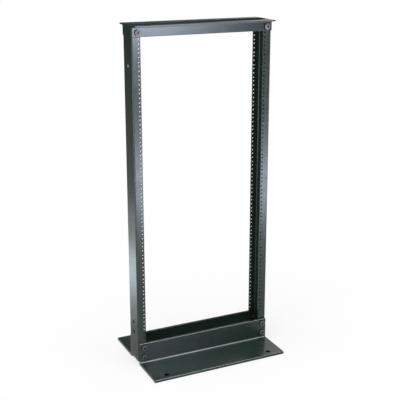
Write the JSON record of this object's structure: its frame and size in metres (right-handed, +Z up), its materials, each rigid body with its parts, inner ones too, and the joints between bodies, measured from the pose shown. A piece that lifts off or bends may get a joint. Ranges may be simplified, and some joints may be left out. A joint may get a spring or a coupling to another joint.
{
  "type": "two post open frame rack",
  "caption": "Low open frame relay rack: channel posts with universal hole rows on both flanges, wide bolted base angles and small top angles.",
  "frame": {"origin": "on the floor, midway between the posts and midway front to back", "axes": "+X to the right seen from the front, front toward -Y, +Z up"},
  "size_m": [0.5156, 0.3722, 1.2004],
  "materials": {
    "frame_paint": "extruded aluminium, black satin paint",
    "hardware": "plated steel, dull"
  },
  "bodies": {
    "root": {"left_post": "frame_paint", "right_post": "frame_paint", "front_top_angle": "frame_paint", "back_top_angle": "frame_paint", "front_base_angle": "frame_paint", "back_base_angle": "frame_paint", "top_bolt_front_left": "hardware", "top_bolt_front_right": "hardware", "top_bolt_back_left": "hardware", "top_bolt_back_right": "hardware", "base_bolt_front_left_upper": "hardware", "base_bolt_front_left_lower": "hardware", "base_bolt_front_right_upper": "hardware", "base_bolt_front_right_lower": "hardware", "base_bolt_back_left_upper": "hardware", "base_bolt_back_left_lower": "hardware", "base_bolt_back_right_upper": "hardware", "base_bolt_back_right_lower": "hardware", "top_nut_front_left": "hardware", "top_nut_front_right": "hardware", "top_nut_back_left": "hardware", "top_nut_back_right": "hardware", "base_nut_front_left_upper": "hardware", "base_nut_front_left_lower": "hardware", "base_nut_front_right_upper": "hardware", "base_nut_front_right_lower": "hardware", "base_nut_back_left_upper": "hardware", "base_nut_back_left_lower": "hardware", "base_nut_back_right_upper": "hardware", "base_nut_back_right_lower": "hardware"}
  },
  "joints": []
}
